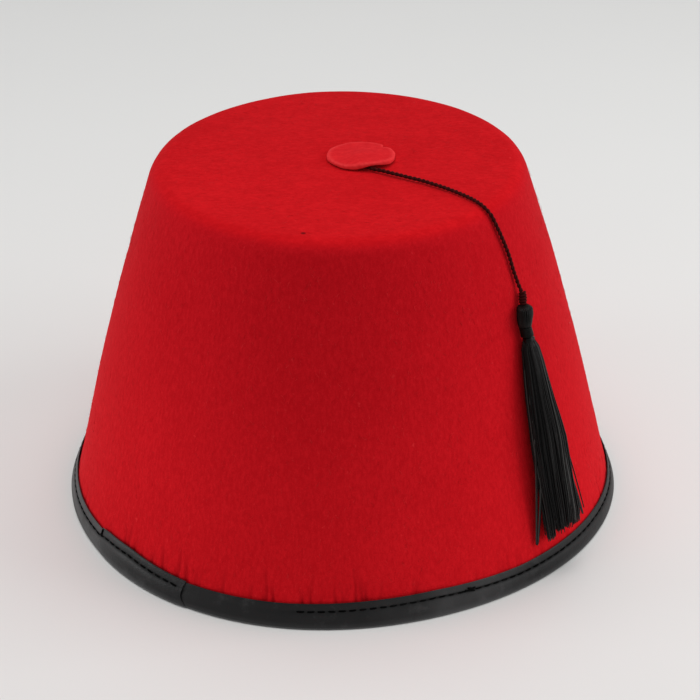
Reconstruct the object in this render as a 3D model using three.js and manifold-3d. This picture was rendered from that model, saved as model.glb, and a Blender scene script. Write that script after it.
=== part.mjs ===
// A fez: a moulded felt crown with a bound rim, a felt disc on its top, and a thin cord with a tassel.
// Millimetres, +Z up. The rim rests on z = 0, centred on the origin, and the hat's front faces -Y.
import * as THREE from 'three';
import { mergeVertices } from 'three/addons/utils/BufferGeometryUtils.js';
import Module from 'manifold-3d';

const wasm = await Module();
wasm.setup();

const degree = Math.PI / 180;

// Felt body
const crownHeight = 127.8;
const rimRadius = 96;
const crownRadius = 63.3; // where the side would meet the top if their corner were sharp
const feltWall = 2;
const cornerRadius = 6.9;
const sideBulge = 2; // how far the side swells out, halfway up
const rimFlare = 1.3;
const flareReach = 12;
const ringSteps = 90;

// Soft felt is never quite round: each outline leaves its circle by an amount, turned by its azimuth
const rimOval = { amount: 2.6, azimuth: -7 * degree };
const frontThreeSided = 1.6; // the rim's front half is a little three-sided
const crownOval = { amount: 0.6, azimuth: 26 * degree };
const crownLean = -0.5; // how far the top sits towards +X of the rim

// Binding
const gap = 0.3; // between one piece and the next
const tapeThickness = 0.7;
const tapeHeight = 9.1;
const tapeInsideHeight = 8;
const tapeEdgeRound = 0.6;
const lapStart = -151 * degree;
const lapEnd = -123 * degree;
const lapExtra = 0.6; // how much thicker the tape's lapped end is

// Top disc
const discRadius = 11.7;
const discDepthRadius = 10.7; // from front to back, because it was cut by hand
const discThickness = 1.2;
const discCentre = { x: 7, y: 0.6 };
const discEdgeRound = 0.4;
const discSteps = 40;
const discSpread = 3.2; // how far to the left of the cord the disc is lifted
const discSpreadRight = 6.5; // and to its right, where it stays off the felt

// Cord, knot and tassel
const cordDiameter = 1.4;
const cordSides = 8;
const cordSteps = 38;
const knotWidth = 2.8;
const knotDrop = 4.9; // from the cord's end down to the top of the tassel's head
const tasselLength = 84;
const skirtHalfWidth = 9;
const skirtHalfDepth = 4.4;
const tasselAzimuth = -38.1 * degree;
const wrapThickness = 0.5;
const lockCount = 14;
const lockRadius = 1.6;
const lockSides = 6;

// The cord's middle line, from under the disc to the knot
const cordPoints = [
  [7.3, -2.6, 128.8],
  [8.1, -5.6, 128.8],
  [9.1, -8.1, 128.8],
  [10.7, -9.8, 128.8],
  [13.3, -11.1, 128.8],
  [15.3, -12.2, 128.8],
  [19.3, -14.6, 128.8],
  [23.3, -17.0, 128.8],
  [27.2, -19.3, 128.8],
  [31.0, -22.1, 128.8],
  [34.9, -25.1, 128.8],
  [38.7, -28.6, 128.8],
  [42.4, -32.5, 128.8],
  [44.3, -35.0, 128.8],
  [46.2, -37.6, 128.5],
  [48.0, -39.4, 127.3],
  [49.2, -40.2, 125.9],
  [50.2, -40.7, 124.0],
  [51.2, -40.8, 121.8],
  [52.2, -40.8, 119.6],
  [54.0, -40.7, 115.2],
  [55.6, -40.9, 110.8],
  [56.9, -41.2, 106.5],
  [58.4, -41.7, 102.3],
  [59.7, -42.5, 99.3],
].map((point) => new THREE.Vector3(...point));

// The tape's upper edge, by azimuth in degrees and as a share of its height. It climbs at the lapped end
// and sinks towards the sides
const tapeEdge = [
  { azimuth: -180, share: 0.76 },
  { azimuth: -165, share: 0.79 },
  { azimuth: -158, share: 0.84 },
  { azimuth: -152, share: 0.89 },
  { azimuth: -146, share: 1.07 },
  { azimuth: -139, share: 1.15 },
  { azimuth: -130, share: 1.05 },
  { azimuth: -121, share: 0.95 },
  { azimuth: -104, share: 0.95 },
  { azimuth: -83, share: 1.03 },
  { azimuth: -70, share: 1.05 },
  { azimuth: -50, share: 0.91 },
  { azimuth: -24, share: 0.88 },
  { azimuth: -10, share: 0.8 },
  { azimuth: 10, share: 0.8 },
  { azimuth: 50, share: 0.95 },
  { azimuth: 130, share: 0.95 },
  { azimuth: 180, share: 0.76 },
];

// The tassel from its top: how far down, as a share of its length, its turn in degrees from the tassel's
// azimuth, and its half width and half depth as shares of the skirt's
const tasselRows = [
  { down: 0, turn: 1.6, wide: 0.2, deep: 0.35 },
  { down: 0.004, turn: 1.5, wide: 0.255, deep: 0.5 },
  { down: 0.012, turn: 1.2, wide: 0.285, deep: 0.62 },
  { down: 0.03, turn: 0.8, wide: 0.27, deep: 0.66 },
  { down: 0.055, turn: 0.3, wide: 0.235, deep: 0.62 },
  { down: 0.078, turn: 0.2, wide: 0.205, deep: 0.54 },
  { down: 0.084, turn: 0.1, wide: 0.125, deep: 0.36 },
  { down: 0.116, turn: 0.2, wide: 0.125, deep: 0.36 },
  { down: 0.126, turn: 0.3, wide: 0.27, deep: 0.48 },
  { down: 0.161, turn: 0.6, wide: 0.34, deep: 0.57 },
  { down: 0.208, turn: 0.4, wide: 0.385, deep: 0.68 },
  { down: 0.294, turn: -0.4, wide: 0.49, deep: 0.84 },
  { down: 0.367, turn: -0.8, wide: 0.58, deep: 0.93 },
  { down: 0.47, turn: -0.7, wide: 0.71, deep: 1 },
  { down: 0.55, turn: -0.4, wide: 0.82, deep: 0.97 },
  { down: 0.683, turn: -0.3, wide: 0.86, deep: 0.92 },
  { down: 0.82, turn: 0.1, wide: 0.9, deep: 0.86 },
  { down: 0.87, turn: 0.4, wide: 0.94, deep: 0.8 },
  { down: 1, turn: 0.5, wide: 0.93, deep: 0.7 },
];
const headEnd = 0.078;
const neckStart = 0.084;
const neckEnd = 0.116;
const skirtStart = 0.161;
const coreEnd = 0.9;
const longestEnd = 0.975; // the threads next to the felt
const endSlant = 0.04; // how much shorter the threads on the outside are

// A value between two rows of a table, the rows in rising order of their key
function between(rows, key, at, column) {
  const upper = rows.findIndex((row) => row[key] >= at);
  if (upper === 0) return rows[0][column];
  if (upper < 0) return rows[rows.length - 1][column];
  const share = (at - rows[upper - 1][key]) / (rows[upper][key] - rows[upper - 1][key]);
  return THREE.MathUtils.lerp(rows[upper - 1][column], rows[upper][column], share);
}

// The felt's mean outer radius at a height of its side, and how far its normal leans up there
function sideRadius(height) {
  const share = height / crownHeight;
  const straight = THREE.MathUtils.lerp(rimRadius, crownRadius, share);
  return straight + 4 * sideBulge * share * (1 - share) + rimFlare * Math.exp(-height / flareReach);
}

function sideSlope(height) {
  const step = 0.5;
  return Math.atan((sideRadius(height) - sideRadius(height + step)) / step);
}

const coneSlope = Math.atan((rimRadius - crownRadius) / crownHeight);
const cornerSlope = coneSlope + Math.atan((4 * sideBulge) / crownHeight);
const cornerRun = cornerRadius * Math.tan((Math.PI / 2 - cornerSlope) / 2);
const sideTop = crownHeight - cornerRun * Math.cos(cornerSlope);
const flatRadius = sideRadius(sideTop) - cornerRadius * Math.cos(cornerSlope);

// The felt's mean outline from the rim to the corner's top, moved in by an inset
function feltOutline(bottom, inset) {
  const sideShares = [0.05, 0.15, 0.32, 0.54, 0.76, 0.92];
  const heights = [bottom, ...sideShares.map((share) => share * sideTop)];
  const outline = heights.map((height, row) => {
    const slope = sideSlope(height);
    const drop = row === 0 ? 0 : inset * Math.sin(slope);
    return [sideRadius(height) - inset * Math.cos(slope), height - drop];
  });
  const cornerSteps = 5;
  for (let step = 0; step <= cornerSteps; step++) {
    const angle = THREE.MathUtils.lerp(cornerSlope, Math.PI / 2, step / cornerSteps);
    const radius = cornerRadius - inset;
    const height = crownHeight - cornerRadius + radius * Math.sin(angle);
    outline.push([flatRadius + radius * Math.cos(angle), height]);
  }
  return outline;
}

// A point of the uneven hat for a radius and a height of the mean one
function onHat(radius, height, azimuth) {
  const share = height / crownHeight;
  const front = 0.5 - 0.5 * Math.sin(azimuth);
  const rim = rimOval.amount * Math.cos(2 * (azimuth - rimOval.azimuth))
    + frontThreeSided * front * (Math.cos(3 * azimuth) - Math.cos(azimuth));
  const crown = crownOval.amount * Math.cos(2 * (azimuth - crownOval.azimuth));
  const wave = (rim * (1 - share) + crown * share) * Math.min(1, radius / flatRadius);
  const reach = radius + wave;
  return new THREE.Vector3(reach * Math.cos(azimuth) + crownLean * share, reach * Math.sin(azimuth), height);
}

// The felt's side at an azimuth and a height: its point, its level direction, and the way out of the felt
function onSide(azimuth, height) {
  const step = 0.01;
  const at = (turn, rise) => onHat(sideRadius(height + rise), height + rise, azimuth + turn);
  const point = at(0, 0);
  const level = at(step, 0).sub(point).normalize();
  const up = at(0, step).sub(point).normalize();
  const out = new THREE.Vector3().crossVectors(level, up).normalize();
  return { point, level, out };
}

// A closed skin through rows of points, each row once around; a row of equal points is a pole
function skin(rows, closed = false) {
  const all = closed ? [...rows, rows[0]] : rows;
  const steps = rows[0].length;
  const geometry = new THREE.LatheGeometry(all.map((row, index) => new THREE.Vector2(1, index)), steps);
  const position = geometry.attributes.position;
  for (let step = 0; step <= steps; step++) {
    all.forEach((row, index) => {
      const point = row[step % steps];
      position.setXYZ(step * all.length + index, point.x, point.y, point.z);
    });
  }
  geometry.deleteAttribute('normal');
  geometry.deleteAttribute('uv');
  return withoutSlivers(mergeVertices(geometry, 1e-4));
}

// Drops the triangles that a pole folds to nothing
function withoutSlivers(geometry) {
  const index = Array.from(geometry.index.array);
  const kept = [];
  for (let corner = 0; corner < index.length; corner += 3) {
    const [a, b, c] = index.slice(corner, corner + 3);
    if (a !== b && b !== c && c !== a) kept.push(a, b, c);
  }
  geometry.setIndex(kept);
  return geometry;
}

function around(steps, pointAt) {
  return Array.from({ length: steps }, (_, step) => pointAt((2 * Math.PI * step) / steps));
}

function solidOf(geometry) {
  return new wasm.Manifold(new wasm.Mesh({
    numProp: 3,
    vertProperties: new Float32Array(geometry.attributes.position.array),
    triVerts: new Uint32Array(geometry.index.array),
  }));
}

// The outer skin of a solid: slivers of air shut in between its locks become solid
function geometryOf(solid) {
  const mesh = solid.getMesh();
  const parent = Array.from({ length: mesh.vertProperties.length / 3 }, (_, vertex) => vertex);
  const rootOf = (vertex) => {
    while (parent[vertex] !== vertex) vertex = parent[vertex];
    return vertex;
  };
  for (let corner = 0; corner < mesh.triVerts.length; corner += 3) {
    const [a, b, c] = mesh.triVerts.slice(corner, corner + 3);
    parent[rootOf(b)] = rootOf(a);
    parent[rootOf(c)] = rootOf(a);
  }
  const skins = new Map();
  for (let corner = 0; corner < mesh.triVerts.length; corner += 3) {
    const triangle = mesh.triVerts.slice(corner, corner + 3);
    const root = rootOf(triangle[0]);
    if (!skins.has(root)) skins.set(root, []);
    skins.get(root).push(...triangle);
  }
  const outer = [...skins.values()].sort((one, other) => other.length - one.length)[0];
  const geometry = new THREE.BufferGeometry();
  geometry.setAttribute('position', new THREE.BufferAttribute(new Float32Array(mesh.vertProperties), 3));
  geometry.setIndex(outer);
  return geometry;
}

function feltBody() {
  const bottom = tapeThickness + gap;
  const inner = [[0, crownHeight - feltWall], ...feltOutline(bottom, feltWall).reverse()];
  const outer = [...feltOutline(bottom, 0), [0, crownHeight]];
  const rows = [...inner, ...outer].map(([radius, height]) =>
    around(ringSteps, (azimuth) => onHat(radius, height, azimuth)));
  return skin(rows);
}

// The tape is folded over the rim: an outer leg, a flat underside and an inner leg
function rimBinding() {
  const innerWall = (height) => sideRadius(height) - feltWall / Math.cos(sideSlope(height));
  const sectionAt = (azimuth) => {
    const signed = azimuth > Math.PI ? azimuth - 2 * Math.PI : azimuth;
    const lapped = signed >= lapStart && signed <= lapEnd;
    const outside = gap + tapeThickness + (lapped ? lapExtra : 0);
    const inside = gap + tapeThickness;
    const top = tapeHeight * between(tapeEdge, 'azimuth', signed / degree, 'share');
    const middle = top / 2;
    return [
      [innerWall(tapeInsideHeight) - inside, tapeInsideHeight],
      [innerWall(tapeEdgeRound) - inside, tapeEdgeRound],
      [innerWall(0) - inside + tapeEdgeRound, 0],
      [sideRadius(0) + outside - tapeEdgeRound, 0],
      [sideRadius(tapeEdgeRound) + outside, tapeEdgeRound],
      [sideRadius(middle) + outside, middle],
      [sideRadius(top) + outside, top],
      [sideRadius(top) + gap, top],
      [sideRadius(middle) + gap, middle],
      [sideRadius(tapeThickness) + gap, tapeThickness],
      [innerWall(tapeThickness) - gap, tapeThickness],
      [innerWall(tapeInsideHeight) - gap, tapeInsideHeight],
    ];
  };
  const corners = sectionAt(0).length;
  const rows = Array.from({ length: corners }, (_, corner) => around(ringSteps, (azimuth) => {
    const [radius, height] = sectionAt(azimuth)[corner];
    return onHat(radius, height, azimuth);
  }));
  return skin(rows, true);
}

// How far the disc is lifted at a place by the cord under it
function discLift(x, y) {
  const hidden = cordPoints.slice(0, 6);
  const place = new THREE.Vector3(x, y, 0);
  const nearest = hidden.slice(1).map((end, index) => {
    const line = new THREE.Line3(hidden[index].clone().setZ(0), end.clone().setZ(0));
    const foot = line.closestPointToPoint(place, true, new THREE.Vector3());
    const distance = foot.distanceTo(place);
    return { distance, rightward: (x - foot.x) / Math.max(distance, 0.01) };
  }).sort((one, other) => one.distance - other.distance)[0];
  const spread = THREE.MathUtils.lerp(discSpread, discSpreadRight, 0.5 + 0.5 * nearest.rightward);
  const ridge = 1.25 * (cordDiameter + gap);
  return ridge * Math.exp(-((nearest.distance / spread) ** 2));
}

function topDisc() {
  const edge = discRadius - discEdgeRound;
  const radii = [0.25, 0.5, 0.72, 0.88].map((share) => share * discRadius);
  const outline = [
    [0, 0],
    ...radii.map((radius) => [radius, 0]),
    [edge, 0],
    [discRadius, discEdgeRound],
    [discRadius, discThickness - discEdgeRound],
    [edge, discThickness],
    ...radii.toReversed().map((radius) => [radius, discThickness]),
    [0, discThickness],
  ];
  const seat = crownHeight + gap;
  return skin(outline.map(([radius, height]) => around(discSteps, (azimuth) => {
    const x = discCentre.x + radius * Math.cos(azimuth);
    const y = discCentre.y + radius * (discDepthRadius / discRadius) * Math.sin(azimuth);
    return new THREE.Vector3(x, y, seat + height + discLift(x, y));
  })));
}

function cord() {
  const section = new THREE.Shape();
  for (let side = 0; side < cordSides; side++) {
    const angle = (2 * Math.PI * side) / cordSides;
    const corner = [0.5 * cordDiameter * Math.cos(angle), 0.5 * cordDiameter * Math.sin(angle)];
    if (side === 0) section.moveTo(...corner);
    else section.lineTo(...corner);
  }
  const extrudePath = new THREE.CatmullRomCurve3(cordPoints);
  return new THREE.ExtrudeGeometry(section, { steps: cordSteps, bevelEnabled: false, extrudePath });
}

// The tassel hangs from the cord's end: its middle at a share of its length, with the directions there
const cordEnd = cordPoints[cordPoints.length - 1];
const tasselTop = cordEnd.z - knotDrop;

function tasselAt(down) {
  const row = (column) => between(tasselRows, 'down', down, column);
  const side = onSide(tasselAzimuth + row('turn') * degree, tasselTop - down * tasselLength);
  const halfWidth = skirtHalfWidth * row('wide');
  const halfDepth = skirtHalfDepth * row('deep');
  const wrapped = down >= headEnd && down <= skirtStart ? gap + wrapThickness : 0;
  const standoff = 1.5 * gap + wrapped + halfDepth;
  const middle = side.point.clone().addScaledVector(side.out, standoff);
  return { middle, level: side.level, out: side.out, halfWidth, halfDepth };
}

// A point around the tassel's middle, its half sizes grown by an amount
function aroundTassel(down, angle, grow) {
  const { middle, level, out, halfWidth, halfDepth } = tasselAt(down);
  return middle.clone()
    .addScaledVector(level, (halfWidth + grow) * Math.cos(angle))
    .addScaledVector(out, (halfDepth + grow) * Math.sin(angle));
}

// A lock's radius, thin where it leaves the neck
function lockRadiusAt(down) {
  return lockRadius * Math.min(1, 0.45 + (1.5 * (down - skirtStart)) / (1 - skirtStart));
}

// Head, neck and the skirt's core, which the locks are fused to
function tasselCore() {
  const sides = 16;
  const downs = tasselRows.map((row) => row.down).filter((down) => down < coreEnd);
  const middleRow = (down) => around(sides, () => tasselAt(down).middle);
  const rows = [...downs, coreEnd].map((down) => {
    const grow = down > skirtStart ? -0.4 * lockRadiusAt(down) : 0;
    return around(sides, (angle) => aroundTassel(down, angle, grow));
  });
  return skin([middleRow(0), ...rows, middleRow(coreEnd)]);
}

// One lock of the skirt, blunt at its cut end
function lock(number) {
  const place = (2 * Math.PI * (number + 0.5)) / lockCount;
  const unevenEnd = 0.008 * Math.sin(5 * number);
  const end = longestEnd - 0.5 * endSlant * (1 + Math.sin(place)) + unevenEnd;
  const shares = [0, 0.12, 0.25, 0.4, 0.55, 0.7, 0.85, 1];
  const ringAt = (down) => {
    const radius = lockRadiusAt(down);
    const { middle, level, out, halfWidth, halfDepth } = tasselAt(down);
    const centre = middle.clone()
      .addScaledVector(level, (halfWidth - radius) * Math.cos(place))
      .addScaledVector(out, (halfDepth - radius) * Math.sin(place));
    return around(lockSides, (angle) => centre.clone()
      .addScaledVector(level, radius * Math.cos(angle + place))
      .addScaledVector(out, radius * Math.sin(angle + place)));
  };
  const rows = shares.map((share) => ringAt(THREE.MathUtils.lerp(skirtStart, end, share)));
  const centreOf = (row) => {
    const centre = row.reduce((sum, point) => sum.add(point), new THREE.Vector3()).divideScalar(row.length);
    return row.map(() => centre);
  };
  return skin([centreOf(rows[0]), ...rows, centreOf(rows[rows.length - 1])]);
}

function tassel() {
  let whole = solidOf(tasselCore());
  for (let number = 0; number < lockCount; number++) {
    whole = whole.add(solidOf(lock(number)));
  }
  return geometryOf(whole);
}

// The thread wound round the neck, as one band
function neckWrap() {
  const sides = 20;
  const inset = 0.004;
  const [start, end] = [neckStart + inset, neckEnd - inset];
  const bulge = (start + end) / 2;
  const outside = gap + wrapThickness;
  const shoulder = outside - 0.3 * wrapThickness;
  const rows = [[start, shoulder], [bulge, outside], [end, shoulder], [end, gap], [start, gap]];
  return skin(rows.map(([down, grow]) => around(sides, (angle) => aroundTassel(down, angle, grow))), true);
}

// The knot lies between the cord's end and the top of the head
function tasselKnot() {
  const sides = 12;
  const target = tasselAt(0).middle;
  const along = target.clone().sub(cordEnd).normalize();
  const level = new THREE.Vector3(0, 0, 1).cross(along).normalize();
  const out = new THREE.Vector3().crossVectors(along, level);
  const length = target.distanceTo(cordEnd) - 2 * gap;
  const ringAt = (share, width) => around(sides, (angle) => cordEnd.clone()
    .addScaledVector(along, gap + share * length)
    .addScaledVector(level, 0.5 * width * Math.cos(angle))
    .addScaledVector(out, 0.5 * width * Math.sin(angle)));
  const bulges = [[0, 0], [0, 0.6], [0.14, 0.95], [0.5, 1], [0.86, 0.95], [1, 0.7], [1, 0]];
  return skin(bulges.map(([share, wide]) => ringAt(share, wide * knotWidth)));
}

function finish(color, roughness) {
  return new THREE.MeshStandardMaterial({ color, roughness, metalness: 0 });
}

const pieces = [
  { name: 'felt_body', geometry: feltBody(), material: finish('#b8141b', 0.95) },
  { name: 'rim_binding', geometry: rimBinding(), material: finish('#2b2b2c', 0.5) },
  { name: 'top_disc', geometry: topDisc(), material: finish('#d12328', 0.95) },
  { name: 'cord', geometry: cord(), material: finish('#141413', 0.7) },
  { name: 'tassel_knot', geometry: tasselKnot(), material: finish('#161615', 0.7) },
  { name: 'tassel', geometry: tassel(), material: finish('#181817', 0.6) },
  { name: 'tassel_neck_wrap', geometry: neckWrap(), material: finish('#1b1b1a', 0.55) },
];

const fez = new THREE.Group();
for (const { name, geometry, material } of pieces) {
  const mesh = new THREE.Mesh(geometry, material);
  mesh.name = name;
  fez.add(mesh);
}

export default fez;
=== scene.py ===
# %% [markdown]
# # A felt fez with a bound rim and a tassel
# The hat is one moulded shell of red wool felt. Black tape is folded over its rim and sewn down. A small
# felt disc on the top hides the place where a thin cord comes out, and the cord ends in a black tassel on the
# wall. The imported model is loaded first, and every piece is built around it.

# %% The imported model
import math
import random
from contextlib import contextmanager

import bmesh
import bpy
import numpy as np
from mathutils import Matrix, Vector, noise


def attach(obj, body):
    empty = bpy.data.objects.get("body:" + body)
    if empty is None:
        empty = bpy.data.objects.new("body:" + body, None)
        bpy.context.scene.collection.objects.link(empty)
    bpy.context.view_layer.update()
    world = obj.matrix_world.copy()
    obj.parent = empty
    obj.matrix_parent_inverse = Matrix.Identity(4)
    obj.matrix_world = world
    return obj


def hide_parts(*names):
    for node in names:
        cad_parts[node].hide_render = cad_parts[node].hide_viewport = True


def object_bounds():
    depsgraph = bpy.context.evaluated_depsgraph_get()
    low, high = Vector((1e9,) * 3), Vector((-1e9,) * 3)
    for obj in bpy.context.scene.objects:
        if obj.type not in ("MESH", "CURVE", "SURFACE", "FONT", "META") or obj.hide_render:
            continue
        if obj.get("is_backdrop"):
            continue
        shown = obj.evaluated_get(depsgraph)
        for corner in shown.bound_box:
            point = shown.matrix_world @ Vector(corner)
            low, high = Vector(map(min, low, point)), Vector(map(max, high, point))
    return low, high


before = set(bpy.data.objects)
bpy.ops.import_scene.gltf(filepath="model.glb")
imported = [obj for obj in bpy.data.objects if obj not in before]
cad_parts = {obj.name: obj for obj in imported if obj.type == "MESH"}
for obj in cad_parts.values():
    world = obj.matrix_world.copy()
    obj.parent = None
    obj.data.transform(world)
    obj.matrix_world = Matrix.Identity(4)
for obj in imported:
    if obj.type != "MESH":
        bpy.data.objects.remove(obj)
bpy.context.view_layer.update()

MM = 0.001
TURN = 2 * math.pi
DEGREE = math.pi / 180
print("nodes:", ", ".join(sorted(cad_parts)))

# %% [markdown]
# ## The camera
# The photograph looks down at the hat from in front through a long lens. The camera's place and angles were
# worked out from the hat's outline and not by eye, because a cord and a tassel only fall where they should
# when the view is the same.

# %% Camera
CAMERA_PLACE = Vector((2.5, -619.8, 415.7)) * MM
CAMERA_PITCH = 30.4 * DEGREE
CAMERA_YAW = 0.044 * DEGREE
CAMERA_ROLL = -0.235 * DEGREE
LENS = 102.25
NEAREST_SHOWN = 10 * MM

bpy.ops.object.camera_add(location=CAMERA_PLACE)
camera = bpy.context.object
camera.name = "camera"
turn = Matrix.Rotation(-CAMERA_YAW, 3, "Z") @ Matrix.Rotation(math.pi / 2 - CAMERA_PITCH, 3, "X")
camera.rotation_euler = (turn @ Matrix.Rotation(CAMERA_ROLL, 3, "Z")).to_euler()
camera.data.lens = LENS
camera.data.clip_start = NEAREST_SHOWN
bpy.context.scene.camera = camera
print("camera looks down", round(CAMERA_PITCH / DEGREE, 1), "degrees")

# %% [markdown]
# ## Threads
# The cord, the tassel, the stitches and the felt's loose fibres are all thin threads. A bevelled curve would
# leave their end caps unjoined. So a ring of points is carried along each line without twisting, and both
# ends are closed. Many threads share one mesh, and every thread keeps a number between 0 and 1 that the
# material reads as its own shade.

# %% A helper that lays threads
ANY_SIDE = (0.3, 0.2, 0.9)
ROUND_SIDES = 8


def select_only(piece):
    bpy.ops.object.select_all(action="DESELECT")
    piece.select_set(True)
    bpy.context.view_layer.objects.active = piece


@contextmanager
def editing(piece):
    """This piece alone, in edit mode until the block ends."""
    select_only(piece)
    bpy.ops.object.mode_set(mode="EDIT")
    yield
    bpy.ops.object.mode_set(mode="OBJECT")


def write_values(piece, name, values):
    """One value for each point, which a material reads by name."""
    piece.data.attributes.new(name, "FLOAT", "POINT").data.foreach_set("value", values)


def threads(name, lines, radius, sides=6, thin_ends=1.0, seed=1):
    """One closed round thread along each line, all lines having as many points, in one mesh."""
    lines = np.asarray(lines, float)
    count, steps = lines.shape[:2]
    ahead = np.gradient(lines, axis=1)
    ahead /= np.linalg.norm(ahead, axis=2, keepdims=True)
    side = np.empty_like(lines)
    carried = np.cross(ahead[:, 0], ANY_SIDE)
    for step in range(steps):
        carried = carried - ahead[:, step] * np.sum(carried * ahead[:, step], axis=1, keepdims=True)
        carried /= np.linalg.norm(carried, axis=1, keepdims=True)
        side[:, step] = carried
    angle = TURN * np.arange(sides)[:, None] / sides
    thickness = np.full((steps, 1, 1), radius)
    thickness[[0, -1]] *= thin_ends
    rings = lines[:, :, None] + thickness * (np.cos(angle) * side[:, :, None]
                                             + np.sin(angle) * np.cross(ahead, side)[:, :, None])
    points = np.concatenate([rings.reshape(count, -1, 3), lines[:, :1], lines[:, -1:]], axis=1)
    faces = []
    for corner in range(sides):
        beside = (corner + 1) % sides
        faces.append((steps * sides, beside, corner))
        faces.append((steps * sides + 1, (steps - 1) * sides + corner, (steps - 1) * sides + beside))
        faces += [(row + corner, row + beside, row + beside + sides, row + corner + sides)
                  for row in range(0, (steps - 1) * sides, sides)]
    each = points.shape[1]
    made = bpy.data.meshes.new(name)
    made.from_pydata(points.reshape(-1, 3), [], [tuple(number * each + corner for corner in face)
                                                 for number in range(count) for face in faces])
    made.shade_smooth()
    piece = bpy.data.objects.new(name, made)
    write_values(piece, "shade", np.repeat(np.random.default_rng(seed).random(count), each))
    bpy.context.scene.collection.objects.link(piece)
    return piece


# %% [markdown]
# ## The cord
# The real cord is two plies twisted together, 1.4 mm thick. It starts under the disc, bends round the crown's
# edge and ends at the tassel's knot. A round tube would look like wire, so two thinner threads wind round the
# middle line of the model's own cord, half a turn apart.

# %% The cord's middle line and its two plies
CORD_DIAMETER = 1.4 * MM
PLY_RADIUS = 0.39 * MM
TWIST_LENGTH = 3.4 * MM
CORD_STEPS = 330
STEPS_BETWEEN_POINTS = 12
CORD_POINTS = MM * np.array([
    (7.3, -2.6, 128.8), (8.1, -5.6, 128.8), (9.1, -8.1, 128.8), (10.7, -9.8, 128.8), (13.3, -11.1, 128.8),
    (15.3, -12.2, 128.8), (19.3, -14.6, 128.8), (23.3, -17.0, 128.8), (27.2, -19.3, 128.8),
    (31.0, -22.1, 128.8), (34.9, -25.1, 128.8), (38.7, -28.6, 128.8), (42.4, -32.5, 128.8),
    (44.3, -35.0, 128.8), (46.2, -37.6, 128.5), (48.0, -39.4, 127.3), (49.2, -40.2, 125.9),
    (50.2, -40.7, 124.0), (51.2, -40.8, 121.8), (52.2, -40.8, 119.6), (54.0, -40.7, 115.2),
    (55.6, -40.9, 110.8), (56.9, -41.2, 106.5), (58.4, -41.7, 102.3), (59.7, -42.5, 99.3),
])


def smooth_line(points, steps):
    """Even steps along a smooth curve through the points."""
    ends = np.vstack([2 * points[0] - points[1], points, 2 * points[-1] - points[-2]])
    share = np.linspace(0, 1, STEPS_BETWEEN_POINTS, endpoint=False)[:, None]
    spans = []
    for a, b, c, d in zip(ends, ends[1:], ends[2:], ends[3:]):
        spans.append(0.5 * (2 * b + (c - a) * share + (2 * a - 5 * b + 4 * c - d) * share**2
                            + (3 * b - a - 3 * c + d) * share**3))
    line = np.vstack(spans + [points[-1:]])
    gone = np.concatenate([[0], np.cumsum(np.linalg.norm(np.diff(line, axis=0), axis=1))])
    even = np.linspace(0, gone[-1], steps)
    return np.column_stack([np.interp(even, gone, line[:, axis]) for axis in range(3)]), gone[-1]


def wound(middle, length, radius, pitch, start):
    """A line that winds round a middle line, once for each pitch of its length."""
    ahead = np.gradient(middle, axis=0)
    ahead /= np.linalg.norm(ahead, axis=1)[:, None]
    level = np.cross((0, 0, 1), ahead)
    level /= np.linalg.norm(level, axis=1)[:, None]
    over = np.cross(ahead, level)
    angle = (start + TURN * np.linspace(0, length, len(middle)) / pitch)[:, None]
    return middle + radius * (np.cos(angle) * level + np.sin(angle) * over)


cord_line, cord_length = smooth_line(CORD_POINTS, CORD_STEPS)
ply_offset = CORD_DIAMETER / 2 - PLY_RADIUS
plies = [wound(cord_line, cord_length, ply_offset, TWIST_LENGTH, start) for start in (0, math.pi)]
twisted_cord = threads("twisted_cord", plies, PLY_RADIUS, sides=ROUND_SIDES)
print("cord length", round(cord_length / MM, 1), "mm")

# %% [markdown]
# ## The shape of the hat
# The felt was pressed over a block, so its wall is a cone that swells a little, and a soft corner joins it to
# the flat top. Wear has pulled it out of round. Every piece that lies on it needs that same surface, so it is
# written once, as a radius for each height and a place for each radius, height and azimuth.

# %% The felt's surface
CROWN_HEIGHT = 127.8 * MM
RIM_RADIUS = 96 * MM
CROWN_RADIUS = 63.3 * MM
FELT_WALL = 2 * MM
CORNER_RADIUS = 6.9 * MM
SIDE_BULGE = 2 * MM
RIM_FLARE = 1.3 * MM
FLARE_REACH = 12 * MM
RIM_OVAL, RIM_OVAL_TURN = 2.6 * MM, -7 * DEGREE
CROWN_OVAL, CROWN_OVAL_TURN = 0.6 * MM, 26 * DEGREE
FRONT_THREE_SIDED = 1.6 * MM
CROWN_LEAN = -0.5 * MM
GAP = 0.3 * MM
SMALL_STEP = 0.01

CORNER_SLOPE = (math.atan((RIM_RADIUS - CROWN_RADIUS) / CROWN_HEIGHT)
                + math.atan(4 * SIDE_BULGE / CROWN_HEIGHT))
CORNER_TANGENT = CORNER_RADIUS * math.tan((math.pi / 2 - CORNER_SLOPE) / 2)
SIDE_TOP = CROWN_HEIGHT - CORNER_TANGENT * math.cos(CORNER_SLOPE)


def side_radius(height):
    share = height / CROWN_HEIGHT
    straight = RIM_RADIUS + (CROWN_RADIUS - RIM_RADIUS) * share
    return straight + 4 * SIDE_BULGE * share * (1 - share) + RIM_FLARE * np.exp(-height / FLARE_REACH)


FLAT_RADIUS = side_radius(SIDE_TOP) - CORNER_RADIUS * math.cos(CORNER_SLOPE)


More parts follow.
